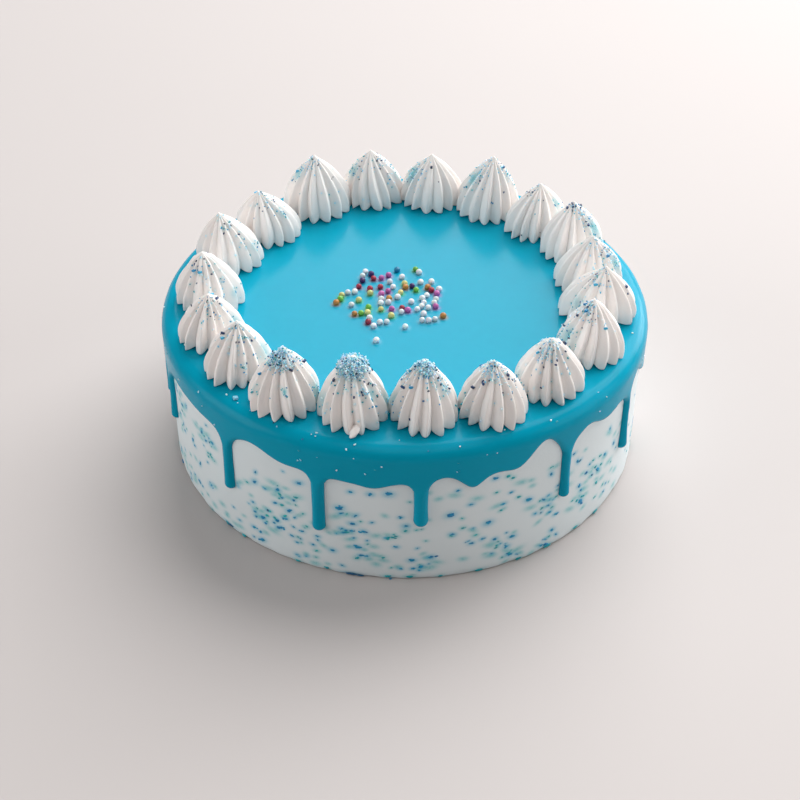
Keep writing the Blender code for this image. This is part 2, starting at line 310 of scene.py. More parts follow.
# Smeared patches on the front: azimuth, height, spread along and up in mm, number of flecks
SMEARS = (
    (-66, 34, 3, 6, 12), (-53, 37, 3, 3, 16), (-52, 29, 2, 5, 9), (-59, 8, 4, 2, 6),
    (-44, 5, 5, 2, 8), (-29, 31, 4.5, 2.5, 20), (-33, 16, 5, 2, 14), (-27, 22, 5, 1.6, 7),
    (-23, 12, 5, 1.5, 9), (-40, 26, 3, 4, 5), (-14, 21, 4.5, 1.5, 13), (-11, 27, 5, 3, 7),
    (-4.5, 21, 3.5, 0.6, 7), (-9, 11, 4.5, 1.2, 8), (-23, 4, 4, 1.5, 4), (2, 6, 5, 2.5, 11),
    (8, 38, 6, 3, 5), (13, 20, 7, 3, 7), (24, 34, 4, 4, 9), (22, 11, 5, 2.5, 11), (24, 5, 4, 2, 7),
    (33, 22, 4, 3.5, 16), (33, 4, 4, 1.5, 6), (38, 31, 3, 4, 7), (48, 27, 4, 5, 15),
    (44, 16, 3, 4, 8), (56, 18, 4, 6, 10), (66, 22, 4, 8, 12),
)
# Azimuths between which the flecks are drawn by rule alone
HIDDEN_SIDE = (72, 294)
HIDDEN_PATCHES = 44
LOOSE_FLECKS = 260
# How many of each kind there are in a patch and loose
PATCH_MIX = (36, 30, 32, 2)
LOOSE_MIX = (45, 33, 20, 2)
FOOT_MARK_BREADTH = 1.1 * MM
STAIN_STRENGTH = {"smear": 0.72, "teal": 0.75, "blue": 0.9, "navy": 0.85}
STAIN_REACH = (0.5 * MM, 0.42 * MM)
STAIN_LIMIT = 6 * MM
# A chip is one bit of sugar, or a larger and one or two smaller bits beside it
WHOLE_CHIP = 1.2 * MM
CHIP_THICK = 0.25 * MM
BIT_SPREAD = 0.22
LARGER_BIT = (0.32, 0.42)
SMALLER_BIT = (0.2, 0.3)
BIT_BREADTH = 1.15


def around(azimuths, centre):
    """Signed angle from one azimuth to others, between -180 and 180 degrees."""
    return (np.asarray(azimuths) - centre + 180.0) % 360.0 - 180.0


def scattered(name, templates, places, material, node=None):
    """One mesh of many small pieces. A place is (centre, along, across, up), each a vector that
    also gives the half size of the piece that way."""
    points, faces, tones = [], [], []
    total = 0
    draw = random.Random(len(places))
    for centre, *half_sizes in places:
        shape_points, shape_faces = templates[draw.randrange(len(templates))]
        points.append(shape_points @ np.array(half_sizes) + np.asarray(centre))
        faces += [tuple(total + index for index in face) for face in shape_faces]
        tones += [draw.random()] * len(shape_points)
        total += len(shape_points)
    piece = mesh_object(name, np.vstack(points), faces)
    keep_values(piece, "tone", tones)
    dress(piece, material, node)
    return piece


def pebble(subdivisions, rough, seed):
    """A unit ball of the given fineness with its points moved in or out, as (points, faces)."""
    draw = random.Random(seed)
    bm = bmesh.new()
    bmesh.ops.create_icosphere(bm, subdivisions=subdivisions, radius=1.0)
    points = np.array([vert.co * (1.0 + draw.uniform(-rough, rough)) for vert in bm.verts])
    faces = [tuple(vert.index for vert in face.verts) for face in bm.faces]
    bm.free()
    return points, faces


def side_flecks():
    """Every fleck of the side as (kind, azimuth, height, length, breadth, slope)."""
    draw = random.Random(FLECK_SEED)
    flecks = []
    for azimuth, height, length, slope in LARGE_CHIPS:
        breadth = draw.uniform(0.5, 0.68) * length * MM
        flecks.append(("blue", azimuth, height * MM, length * MM, breadth, slope))
    for azimuth, length in FOOT_MARKS:
        place = azimuth, draw.uniform(0.6, 1.6) * MM
        kind = "navy" if length > 5 else "teal"
        flecks.append((kind, *place, length * MM, FOOT_MARK_BREADTH, 0))
    patches = list(SMEARS)
    for _ in range(HIDDEN_PATCHES):
        centre = draw.uniform(*HIDDEN_SIDE), draw.uniform(3, 42)
        spread = draw.uniform(2, 6), draw.uniform(1.5, 4)
        patches.append((*centre, *spread, draw.randrange(6, 16)))
    for azimuth, height, along, up, count in patches:
        lean = draw.gauss(0, 6) - 0.25 * azimuth * (abs(azimuth) < HIDDEN_SIDE[0])
        for _ in range(count):
            kind = draw.choices(FLECK_KINDS, PATCH_MIX)[0]
            length = draw.uniform(0.9, 2.5) * (1.9 if kind == "smear" else 1.0)
            breadth = draw.uniform(0.3, 0.45) if kind == "smear" else draw.uniform(0.45, 0.65)
            turned = azimuth + math.degrees(draw.gauss(0, along) * MM / CAKE_RADIUS)
            place = turned, draw.gauss(height, up) * MM
            size = length * MM, breadth * length * MM
            flecks.append((kind, *place, *size, lean + draw.gauss(0, 10)))
    for _ in range(LOOSE_FLECKS):
        kind = draw.choices(FLECK_KINDS, LOOSE_MIX)[0]
        length = draw.uniform(0.7, 1.9) * (1.5 if kind == "smear" else 1.0)
        size = length * MM, draw.uniform(0.4, 0.65) * length * MM
        place = draw.uniform(0, 360), draw.uniform(0, 44) * MM
        flecks.append((kind, *place, *size, draw.gauss(0, 14)))
    return [fleck for fleck in flecks if 0.0 < fleck[2] < HIGHEST_FLECK]


cake_points = np.vstack([np.vstack(cake_rings), [(0, 0, 0), (0, 0, CAKE_HEIGHT)]])
point_azimuths = np.degrees(np.arctan2(cake_points[:, 0], -cake_points[:, 1]))
stains = {"teal_stain": np.zeros(len(cake_points)), "blue_stain": np.zeros(len(cake_points))}
fleck_places = {"teal": [], "blue": [], "navy": []}
chip_draw = random.Random(FLECK_SEED + 1)
for kind, azimuth, height, length, breadth, slope in side_flecks():
    along = np.radians(around(point_azimuths, azimuth)) * CAKE_RADIUS
    up = cake_points[:, 2] - height
    near = (np.abs(along) < STAIN_LIMIT) & (np.abs(up) < STAIN_LIMIT)
    cosine, sine = math.cos(math.radians(slope)), math.sin(math.radians(slope))
    run = along[near] * cosine + up[near] * sine
    rise = up[near] * cosine - along[near] * sine
    soak = 0.5 * length + STAIN_REACH[0], 0.5 * breadth + STAIN_REACH[1]
    halo = STAIN_STRENGTH[kind] * np.exp(-((run / soak[0]) ** 2) - (rise / soak[1]) ** 2)
    stain = stains["teal_stain" if kind in ("smear", "teal") else "blue_stain"]
    stain[near] = np.maximum(stain[near], halo)
    if kind == "smear":
        continue
    bits = 1 if length < WHOLE_CHIP else (3 if kind == "blue" else 2)
    for bit in range(bits):
        off = BIT_SPREAD if bit else 0.0
        aside = chip_draw.gauss(0, off) * length, chip_draw.gauss(0, off) * breadth
        turned = azimuth + math.degrees((aside[0] * cosine - aside[1] * sine) / CAKE_RADIUS)
        out = directions(turned)[0]
        lie = np.array((-out[1] * cosine, out[0] * cosine, sine))
        centre = out * (CAKE_RADIUS + FLECK_PROUD - CHIP_THICK)
        centre[2] = height + aside[0] * sine + aside[1] * cosine
        core = chip_draw.uniform(*(SMALLER_BIT if bit else LARGER_BIT))
        half = core * length, min(core * BIT_BREADTH * breadth, core * length)
        fleck_places[kind].append(
            (centre, lie * half[0], np.cross(out, lie) * half[1], out * CHIP_THICK)
        )
for name, stain in stains.items():
    keep_values(cake, name, stain)

FLECK_COLOURS = {
    "teal": ((0.0, 0.30, 0.38), (0.0, 0.47, 0.52)),
    "blue": ((0.0, 0.17, 0.42), (0.0, 0.37, 0.62)),
    "navy": ((0.0, 0.07, 0.20), (0.0, 0.15, 0.30)),
}


def sugar_grain_group():
    """Colour of sugar from dark to light by the tone of each piece, with fine spots."""
    group, given, result = effect_group(
        "sugar_grain", {"Tone": "Float", "Dark": "Color", "Light": "Color"},
        {"Colour": "Color", "Height": "Float"},
    )
    spots = add_node(group, "TexNoise", {"Scale": 2500.0, "Detail": 1.0}).outputs["Fac"]
    spotted = add_node(group, "Math", {0: spots, 1: 0.5, 2: given["Tone"]}, operation="MULTIPLY_ADD")
    amount = add_node(
        group, "Math", {0: spotted.outputs[0], 1: 0.25}, operation="SUBTRACT", use_clamp=True
    )
    colour = blended(group, amount.outputs[0], given["Dark"], given["Light"])
    group.links.new(colour, result["Colour"])
    group.links.new(spots, result["Height"])
    return group


sugar_grain = sugar_grain_group()


def sugar_material(name, dark, light, roughness):
    """Sugar whose pieces each have a tone of their own between two colours."""
    material, tree, shader = food_material(
        name, light, roughness=roughness, subsurface_weight=0.3, subsurface_scale=0.4 * MM
    )
    tone = add_node(tree, "Attribute", attribute_name="tone").outputs["Fac"]
    colours = {"Tone": tone, "Dark": (*dark, 1.0), "Light": (*light, 1.0)}
    grain = add_node(tree, "Group", colours, node_tree=sugar_grain)
    tree.links.new(grain.outputs["Colour"], shader.inputs["Base Color"])
    in_relief(tree, shader, grain.outputs["Height"], 0.03 * MM)
    return material


chips = [pebble(2, 0.22, seed) for seed in range(6)]
for kind, places in fleck_places.items():
    material = sugar_material(f"soaked_{kind}_sugar", *FLECK_COLOURS[kind], roughness=0.5)
    scattered(f"side_flecks_{kind}", chips, places, material, "cake_body")

# Poured glaze
# White chocolate glaze coloured blue, poured warm over the cold cake: it lies flat on top, rolls
# over the edge and stops in a wavy skirt, and from the skirt single drips ran down and set.
GAP = 0.3 * MM
GLAZE_TOP = 60.5 * MM
GLAZE_FULL = GLAZE_TOP - CAKE_HEIGHT - GAP
BASE_RADIUS = CAKE_RADIUS + GAP
BASE_SHOULDER = CAKE_SHOULDER + GAP
GLAZE_SUNK = 0.35 * MM
GLAZE_BACK = 0.5 * MM
SKIRT_HEIGHT = 46.5 * MM
SKIRT_ROUND = 1.7 * MM
# Waves of the skirt's edge: azimuth, how far it hangs in mm, half width in degrees
SKIRT_WAVES = (
    (-66, -2.0, 5), (-57, -1.4, 5), (-50, -1.0, 4), (-36, -2.8, 5), (-26, 0.7, 5), (-13, 1.3, 4),
    (-7, 3.2, 4), (-1, 0.7, 3.5), (8.5, -1.2, 3), (14.8, 4.8, 3), (25, 1.3, 3), (32, -7.1, 4),
    (45, -3.7, 4), (57, -1.2, 3), (68, -4.6, 5), (77, 5.0, 4), (110, 3.0, 7), (134, -3.0, 6),
    (175, -4.0, 6), (202, 2.5, 7), (224, -2.5, 6), (262, -3.0, 6),
)
# Drips: azimuth, height of the end in mm, width in mm, width at the neck as a share of it
DRIPS = (
    (-80, 27.5, 3.2, 0.9), (-72.2, 24, 4.0, 0.8), (-43.7, 22, 4.7, 1.0), (-19.4, 20.2, 5.0, 1.0),
    (3.4, 26.4, 5.2, 1.0), (38.5, 22.8, 4.4, 0.95), (62.6, 21, 4.6, 0.7), (92, 24.5, 4.0, 0.9),
    (121, 19.5, 5.0, 1.0), (146, 33, 3.4, 0.8), (163, 22, 4.9, 1.0), (188, 25, 3.8, 0.9),
    (214, 19, 4.6, 0.95), (233, 31, 3.4, 0.8), (252, 23, 4.8, 1.0),
)
DRIP_PROUD = 0.45
# A drip makes the glaze fuller from this far above its start, and over this far
FULLER_ABOVE = 5 * MM
FULLER_OVER = 7 * MM
WEB_DROP = 4.5 * MM
WEB_WIDTH = 1.5 * MM
EDGE_STEP = 0.4 * MM
EDGE_ROWS = (0.07 * MM, 0.22 * MM, 0.48 * MM)


def beside_line(azimuths, centre):
    """Distance round the side between an upright line and places at other azimuths."""
    return np.abs(np.radians(around(azimuths, centre))) * BASE_RADIUS


def skirt_edge(azimuths):
    """Height of the skirt's lower edge before any drip leaves it."""
    height = np.full(np.shape(azimuths), SKIRT_HEIGHT)
    for centre, hang, half_width in SKIRT_WAVES:
        height -= hang * MM * np.exp(-((around(azimuths, centre) / half_width) ** 2))
    turns = np.radians(azimuths)
    return height + 0.2 * MM * np.sin(11 * turns + 1.0) + 0.12 * MM * np.sin(29 * turns)


def webbed_edge(azimuths):
    """The lower edge with the hollow curve by which it runs into each drip."""
    height = skirt_edge(azimuths)
    for centre, _, width, neck in DRIPS:
        beside = np.maximum(beside_line(azimuths, centre) - 0.5 * neck * width * MM, 0.0)
        height = height - WEB_DROP * np.exp(-beside / WEB_WIDTH)
    return height


def drip_form(drip):
    """Azimuth, junction height, height of the round end's centre and half width of a drip."""
    azimuth, end, width, _ = drip
    half = 0.5 * width * MM
    return azimuth, float(webbed_edge(np.array([azimuth]))[0]), end * MM + half, half


def drip_half(drip, heights):
    """Half width of a drip at the given heights: from its neck, past a slight waist, to its end."""
    _, junction, end, half = drip_form(drip)
    share = np.clip((junction - heights) / (junction - end), 0.0, 1.0)
    waist = 0.06 * np.sin(math.pi * share)
    return half * (drip[3] + (1.0 - drip[3]) * share**2 - waist)


def glaze_outline():
    """Lower edge of the glaze once round the cake, as (azimuth, height) rows."""
    outline = []
    ordered = sorted(DRIPS)
    for drip, following in zip(ordered, ordered[1:] + [(ordered[0][0] + 360, *ordered[0][1:])]):
        azimuth, junction, end, half = drip_form(drip)
        heights = np.arange(junction, end, -EDGE_STEP)
        offsets = drip_half(drip, heights)
        turn = np.linspace(0.0, math.pi, max(8, int(math.pi * half / EDGE_STEP)) + 1)
        across = np.concatenate([-offsets, -half * np.cos(turn), offsets[::-1]])
        tall = np.concatenate([heights, end - half * np.sin(turn), heights[::-1]])
        outline.append(np.column_stack([azimuth + np.degrees(across / BASE_RADIUS), tall]))
        start = azimuth + math.degrees(drip_half(drip, junction) / BASE_RADIUS)
        stop = following[0] - math.degrees(0.5 * following[3] * following[2] * MM / BASE_RADIUS)
        steps = int(math.radians(stop - start) * BASE_RADIUS / EDGE_STEP)
        skirt = np.linspace(start, stop, steps + 1)[1:-1]
        outline.append(np.column_stack([skirt, webbed_edge(skirt)]))
    return np.vstack(outline)


SHOULDER_RUN = QUARTER_TURN * BASE_SHOULDER
FLAT_RADIUS = BASE_RADIUS - BASE_SHOULDER
SIDE_TOP = CAKE_HEIGHT + GAP - BASE_SHOULDER


def run_of(heights):
    """Distance from the middle of the top, over the edge and down the side, to a height on the
    side. Given such a distance, it is the height."""
    return FLAT_RADIUS + SHOULDER_RUN + SIDE_TOP - heights


def on_base(azimuths, runs, lift):
    """Points at a distance run from the middle, lifted off the coat along its normal."""
    bend = np.clip((runs - FLAT_RADIUS) / BASE_SHOULDER, 0.0, QUARTER_TURN)
    radius = np.minimum(runs, FLAT_RADIUS) + (BASE_SHOULDER + lift) * np.sin(bend)
    fall = np.maximum(runs - FLAT_RADIUS - SHOULDER_RUN, 0.0)
    height = SIDE_TOP + (BASE_SHOULDER + lift) * np.cos(bend) - fall
    points = directions(azimuths) * radius[:, None]
    points[:, 2] = height
    return points


def in_glaze(azimuths, runs):
    """True where a place on the coat lies under the glaze."""
    heights = run_of(runs)
    inside = heights > webbed_edge(azimuths)
    for drip in DRIPS:
        azimuth, junction, end, half = drip_form(drip)
        beside = beside_line(azimuths, azimuth)
        inside |= (beside < drip_half(drip, heights)) & (heights < junction + MM) & (heights > end)
        inside |= beside**2 + (heights - end) ** 2 < half**2
    return inside


def rings_of_points(start, stop, run_step, side_step):
    """Staggered rings of places between two runs, as azimuths and runs."""
    azimuths, runs = [], []
    for index, run in enumerate(np.arange(start, stop, run_step)):
        count = max(6, round(2.0 * math.pi * min(run, BASE_RADIUS) / side_step))
        azimuths.append((np.arange(count) + 0.5 * (index % 2)) * 360.0 / count)
        runs.append(np.full(count, run))
    return np.concatenate(azimuths), np.concatenate(runs)


outline = glaze_outline()
to_next = np.roll(outline, -1, axis=0) - outline
to_next[-1, 0] += 360.0
edge_line = np.vstack([outline + to_next * share for share in (0.0, 0.25, 0.5, 0.75)])
edge_points = on_base(edge_line[:, 0], run_of(edge_line[:, 1]), 0.0)
edge_tree = kdtree.KDTree(len(edge_points))
for index, point in enumerate(edge_points):
    edge_tree.insert(point, index)
edge_tree.balance()


def edge_distance(azimuths, runs):
    """Distance from places on the coat to the glaze's edge."""
    return np.array([edge_tree.find(point)[2] for point in on_base(azimuths, runs, 0.0)])


def kept_inside(azimuths, runs, inset):
    """Those places that lie under the glaze, further than the inset from its edge."""
    for test in (in_glaze, lambda *place: edge_distance(*place) > inset):
        keep = test(azimuths, runs)
        azimuths, runs = azimuths[keep], runs[keep]
    return azimuths, runs


# Rings of points of the glaze's face: from, to, step outwards and step round
GLAZE_RINGS = (
    (0.9 * MM, 34 * MM, 0.9 * MM, 0.95 * MM),
    (34 * MM, FLAT_RADIUS - 3 * MM, 2.2 * MM, 2.4 * MM),
    (FLAT_RADIUS - 3 * MM, FLAT_RADIUS + SHOULDER_RUN, 0.55 * MM, 1.1 * MM),
    (FLAT_RADIUS + SHOULDER_RUN, run_of(37 * MM), 0.75 * MM, 0.95 * MM),
)


def glaze_places():
    """Places inside the glaze: rows along its edge, rings on top and side, ranks in each drip."""
    ahead = np.roll(outline, -1, axis=0) - np.roll(outline, 1, axis=0)
    ahead[:, 0] = np.radians(around(ahead[:, 0], 0.0)) * BASE_RADIUS
    inward = np.column_stack([-ahead[:, 1], ahead[:, 0]]) / np.linalg.norm(ahead, axis=1)[:, None]
    sets = []
    for inset in EDGE_ROWS:
        azimuths = outline[:, 0] + np.degrees(inward[:, 0] * inset / BASE_RADIUS)
        runs = run_of(outline[:, 1] + inward[:, 1] * inset)
        sets.append(kept_inside(azimuths, runs, 0.85 * inset))
    rings = [rings_of_points(*ring) for ring in GLAZE_RINGS]
    for drip in DRIPS:
        azimuth, junction, end, half = drip_form(drip)
        across, tall = np.meshgrid(
            np.linspace(-half, half, 9), np.arange(end - half, junction + 2 * MM, 0.55 * MM)
        )
        rings.append((azimuth + np.degrees(across.ravel() / BASE_RADIUS), run_of(tall.ravel())))
    sets += [kept_inside(*ring, EDGE_ROWS[-1] + 0.22 * MM) for ring in rings]
    return np.concatenate([a for a, _ in sets]), np.concatenate([r for _, r in sets])


def glaze_lift(azimuths, runs):
    """Height of the glaze's face off the coat: a rounded lip at the edge, fuller in a drip."""
    heights = run_of(runs)
    rounding = np.full(len(runs), SKIRT_ROUND)
    full = np.full(len(runs), GLAZE_FULL)
    for drip in DRIPS:
        azimuth, junction, end, half = drip_form(drip)
        beside = beside_line(azimuths, azimuth)
        down = np.clip((junction + FULLER_ABOVE - heights) / FULLER_OVER, 0.0, 1.0)
        part = down**2 * (3.0 - 2.0 * down) * np.exp(-((beside / (1.7 * half)) ** 4))
        toward_end = np.clip((junction - heights) / (junction - end), 0.0, 1.0)
        proud = 2.0 * DRIP_PROUD * half * (0.85 + 0.2 * toward_end**3)
        rounding += part * (half - rounding)
        full += part * (np.maximum(proud, 0.8 * GLAZE_FULL) - full)
    share = np.clip(edge_distance(azimuths, runs) / rounding, 0.0, 1.0)
    lens = np.sqrt(1.0 - (1.0 - share) ** 2)
    flat = on_base(azimuths, runs, 0.0)
    slow = 0.05 * MM * wander(flat, 22 * MM, 5.0)
    slow += 0.12 * MM * wander(flat, 9 * MM, 9.0) * (runs > FLAT_RADIUS)
    return (full + GLAZE_SUNK) * lens - GLAZE_SUNK + slow * lens


def sheet_faces(azimuths, runs):
    """Triangles between the outline's points, which come first, and the places inside it."""
    turns = np.radians(azimuths)
    plan = [Vector(pair) for pair in np.column_stack([runs * np.sin(turns), -runs * np.cos(turns)])]
    border = list(range(len(outline)))
    made = geometry.delaunay_2d_cdt(plan, [], [border], 1, 1e-9)
    source = [origins[0] for origins in made[3]]
    return [tuple(source[index] for index in face) for face in made[2]]


inner_azimuths, inner_runs = glaze_places()
face_azimuths = np.concatenate([outline[:, 0], inner_azimuths])
face_runs = np.concatenate([run_of(outline[:, 1]), inner_runs])
face_lift = glaze_lift(face_azimuths, face_runs)
face_lift[: len(outline)] = -GLAZE_SUNK
glaze_points = on_base(face_azimuths, face_runs, face_lift)
glaze_faces = sheet_faces(face_azimuths, face_runs)

back_azimuths, back_runs = kept_inside(
    *rings_of_points(4 * MM, run_of(22 * MM), 3.0 * MM, 4.0 * MM), 0.6 * MM
)
back_points = on_base(back_azimuths, back_runs, -GLAZE_BACK)
sheet_azimuths = np.concatenate([outline[:, 0], back_azimuths])
back_faces = sheet_faces(sheet_azimuths, np.concatenate([run_of(outline[:, 1]), back_runs]))
beyond = len(glaze_points) - len(outline)
for face in back_faces:
    moved = [index if index < len(outline) else index + beyond for index in face]
    glaze_faces.append(tuple(reversed(moved)))
glaze_points = np.vstack([glaze_points, back_points])
glaze = mesh_object("poured_glaze", glaze_points, glaze_faces)

GLAZE_BLUE = (0.0, 0.325, 0.48)
GLAZE_DEEP = (0.0, 0.30, 0.445)
glaze_material, tree, shader = food_material(
    "poured_blue_glaze", GLAZE_BLUE, roughness=0.2, ior=1.165, subsurface_weight=0.1,
    subsurface_scale=0.8 * MM, subsurface_radius=(0.1, 0.8, 1.0),
)
cloud = add_node(tree, "TexNoise", {"Scale": 45.0, "Detail": 3.0})
shade = blended(tree, cloud.outputs["Fac"], GLAZE_BLUE, GLAZE_DEEP)
bleed = add_node(tree, "Attribute", attribute_name="bleed")
mixed_in = add_node(tree, "Mix", {0: bleed.outputs["Alpha"]}, data_type="RGBA")
tree.links.new(shade, mixed_in.inputs[6])
tree.links.new(bleed.outputs["Color"], mixed_in.inputs[7])
tree.links.new(mixed_in.outputs[2], shader.inputs["Base Color"])
dust = add_node(tree, "TexNoise", {"Scale": 350.0, "Detail": 4.0}).outputs["Fac"]
tree.links.new(ranged(tree, dust, 0.0, 1.0, 0.14, 0.28), shader.inputs["Roughness"])
in_relief(tree, shader, dust, 0.01 * MM)
dress(glaze, glaze_material, "drip_glaze")

# Sugar beads
# Small round sugar pearls in eight colours, dropped on the middle of the glaze while it was
# soft, so each sits in it by a quarter; the coloured ones have tinted the glaze round them.
BEAD_RADIUS = 1.15 * MM
BEAD_SUNK = 0.25
BEAD_APART = 2.06 * BEAD_RADIUS
BEAD_SEED = 11
# Clusters of beads: x, y and spread in mm, and the colour of each bead
BEAD_CLUSTERS = (
    (-13.8, 11.5, 1.9, "white cherry plum plum pink white"),
    (-19.5, -1.0, 2.6, "white yellow cherry white green white cherry yellow"),
    (-24.0, -4.5, 2.4, "yellow orange"),
    (-15.0, -11.5, 2.0, "green orange green yellow"),
    (-10.6, -18.5, 1.8, "white white white white cherry"),
    (-6.6, -14.9, 1.4, "yellow yellow"),
    (-4.0, 9.9, 2.4, "white pink yellow white white"),
    (1.0, 15.0, 2.2, "white blue green"),
    (3.5, 7.5, 1.9, "white plum orange"),
    (-4.5, 3.0, 2.4, "yellow cherry white pink orange"),
    (-7.0, -4.0, 2.4, "white white pink white pink"),
    (-0.8, -10.7, 1.7, "white pink cherry"),
    (5.5, -7.5, 2.2, "white white white white white white pink"),
    (10.0, -4.5, 1.8, "white white white"),
    (9.5, 4.5, 3.2, "green orange cherry pink white white"),
    (7.6, -15.5, 1.6, "white white white white"),
    (14.2, -14.5, 0.2, "orange"),
    (0.0, -21.3, 0.2, "white"),
    (-10.5, -29.2, 0.2, "white"),
)
BEAD_COLOURS = {
    "white": (0.74, 0.81, 0.86), "cherry": (0.35, 0.015, 0.05), "plum": (0.04, 0.01, 0.13),
    "pink": (0.52, 0.13, 0.42), "orange": (0.55, 0.24, 0.05), "yellow": (0.64, 0.64, 0.24),
    "green": (0.16, 0.48, 0.06), "blue": (0.01, 0.22, 0.42),
}
# The tint round a bead: how strong for a white bead and for a coloured one, and how far
WHITE_BLEED = 0.25
COLOUR_BLEED = 0.75
BLEED_REACH = 1.4 * BEAD_RADIUS
NO_BLEED = (0.3, 0.5, 0.5, 0.0)


def bead_places():
    """Place and colour of each bead, scattered round the cluster centres and kept apart."""
    draw = random.Random(BEAD_SEED)
    placed = []
    for x, y, spread, colours in BEAD_CLUSTERS:
        for colour in colours.split():
            while True:
                spot = Vector((draw.gauss(x, spread) * MM, draw.gauss(y, spread) * MM, 0.0))
                if all((spot - other).length > BEAD_APART for other, _ in placed):
                    break
            placed.append((spot, colour))
    return placed


beads = bead_places()
ball = [pebble(3, 0.0, 0)]
for colour_name, colour in BEAD_COLOURS.items():
    deep = tuple(0.75 * value for value in colour)
    material = sugar_material(f"{colour_name}_pearl", deep, colour, roughness=0.22)
    places = []
    for place, name in beads:
        if name == colour_name:
            centre = np.array(place) + (0.0, 0.0, GLAZE_TOP + (1.0 - BEAD_SUNK) * BEAD_RADIUS)
            size = BEAD_RADIUS * (1.0 + 0.07 * math.sin(7000 * place.x + 9000 * place.y))
            places.append((centre, (size, 0, 0), (0, size, 0), (0, 0, 0.95 * size)))
    scattered(f"sugar_beads_{colour_name}", ball, places, material, "drip_glaze")

bleed_colour = np.tile(NO_BLEED, (len(glaze_points), 1))
for place, name in beads:
    reach = np.linalg.norm(glaze_points[:, :2] - np.array(place)[:2], axis=1)
    strength = WHITE_BLEED if name == "white" else COLOUR_BLEED
    amount = strength * np.exp(-((reach / BLEED_REACH) ** 3))
    amount[glaze_points[:, 2] < CAKE_HEIGHT] = 0.0
    stronger = amount > bleed_colour[:, 3]
    bleed_colour[stronger, :3] = BEAD_COLOURS["green" if name == "yellow" else name]
    bleed_colour[stronger, 3] = amount[stronger]
kept_bleed = glaze.data.attributes.new("bleed", "FLOAT_COLOR", "POINT")
kept_bleed.data.foreach_set("color", bleed_colour.ravel())

# Piped dollops
# Stiff whipped cream pressed straight down through a fourteen-point star nozzle and pulled up
# to a peak, side by side round the rim. The ribs stand in pleats and end below in pointed toes.
RING_RADIUS = 73.0 * MM
DOLLOP_WIDEST = 12.6 * MM
RIBS = 14
RIB_POINTS = 14
DOLLOP_TWIST = 16
DOLLOP_SEED = 4
# Azimuth, place in mm out from the ring, height, lean of the peak outwards and anticlockwise in
# mm, and the number of coarse sugar crystals
DOLLOPS = (
    (-14, 0, 23.5, -1, 0, 7), (5, -0.4, 23, -0.6, 0, 6), (23, 2.6, 21.5, -0.1, 0, 4),
    (42, 1.4, 20.5, 0.6, 0, 4), (62, 1.8, 21.5, -0.3, 1.5, 4), (80.5, -1.2, 21, 2.2, 0, 2),
    (97.5, -2.5, 20.5, 0.5, 0, 2), (116, 0, 21, 0.5, 1.5, 3), (132.5, -1.6, 20.5, 0.6, -1, 1),
    (151.8, -2, 24.5, 1, -2, 2), (171, -1.5, 21, 0, 0, 2), (190, 0.8, 22, -0.3, 1, 1),
    (208.8, 0.5, 24.5, -0.5, 1, 3), (230.1, -2.8, 20.5, 0.7, 4.4, 1),
    (249.8, -1.1, 21.5, 3, 1.7, 1), (272, 0, 21, 1.5, 0, 2), (291, 1.8, 20, 0.7, 1.5, 2),
    (308.5, 1.7, 21.5, -0.2, 0.5, 2), (327.3, 3.3, 22.5, -0.8, 0, 7),
)
# Side outline and grooves: share of the height, share of the widest radius, groove's depth
DOLLOP_OUTLINE = (
    (0.0, 0.95, 0.22), (0.05, 0.975, 0.235), (0.16, 0.985, 0.24), (0.40, 0.875, 0.24),
    (0.64, 0.62, 0.25), (0.85, 0.29, 0.27), (0.92, 0.15, 0.25), (0.965, 0.07, 0.15),
    (1.0, 0.02, 0.0),
)
# Peaks flattened under their heap of sugar: dollop and how much
BLUNT_PEAKS = {1: 0.9, 2: 0.35, 4: 0.5, 5: 0.3, 16: 0.5, 17: 0.3, 19: 0.1}
# Place of the groove between two ribs, and how full the ribs are
RIB_VALLEY = 0.42
PLEAT = 1.3
# The toes: how far the grooves between them end above the glaze, how much the ribs curl out and
# drop there, and the share of the height that this takes
TOE_LIFT = 1.3 * MM
TOE_FLICK = 0.35 * MM
TOE_DROP = 0.5 * MM
TOE_SHARE = 0.14
# Differences between ribs: size, turn, groove, its place, sway on the way up, and lumps
RIB_UNEVEN = 0.035
RIB_TURN = 0.12
GROOVE_UNEVEN = 0.22
VALLEY_SHIFT = (-0.12, 0.05)
RIB_SWAY = 0.09
LUMPS = (5 * MM, 0.14 * MM)
LEVELS = np.concatenate([
    (0.0, 0.012, 0.03, 0.055, 0.085), np.linspace(0.125, 0.93, 24), (0.955, 0.975, 0.99, 1.0)
])
# How far a dollop spread, along the ring and across it, where that isn't the usual amount
PRESSED = (1.045, 1.0)
PRESSED_MORE = {
    6: (1.06, 1.18), 7: (1.06, 1.08), 8: (1.08, 1.04), 9: (1.12, 1.08), 10: (1.12, 1.04),
    11: (1.13, 1.0), 12: (1.12, 1.0), 13: (1.2, 1.08), 14: (1.06, 1.06), 15: (1.06, 1.05),
    16: (1.05, 1.04),
}
# Beyond the flat top, a foot follows the glaze down over its edge
GLAZE_SHOULDER = 5.5 * MM


def smooth_through(knots, column, at):
    """Smooth curve through the knots' values, read at the given shares of the height."""
    x = np.array([knot[0] for knot in knots])
    y = np.array([knot[column] for knot in knots])
    slope = np.gradient(y, x)
    k = np.clip(np.searchsorted(x, at, side="right") - 1, 0, len(x) - 2)
    span = x[k + 1] - x[k]
    t = (at - x[k]) / span
    ends = (1 - 3 * t**2 + 2 * t**3) * y[k] + (3 * t**2 - 2 * t**3) * y[k + 1]
    return ends + span * ((t - 2 * t**2 + t**3) * slope[k] + (t**3 - t**2) * slope[k + 1])


def dollop_place(index):
    """Level place of a dollop's centre."""
    azimuth, out = DOLLOPS[index][:2]
    return directions(azimuth)[0] * (RING_RADIUS + out * MM)


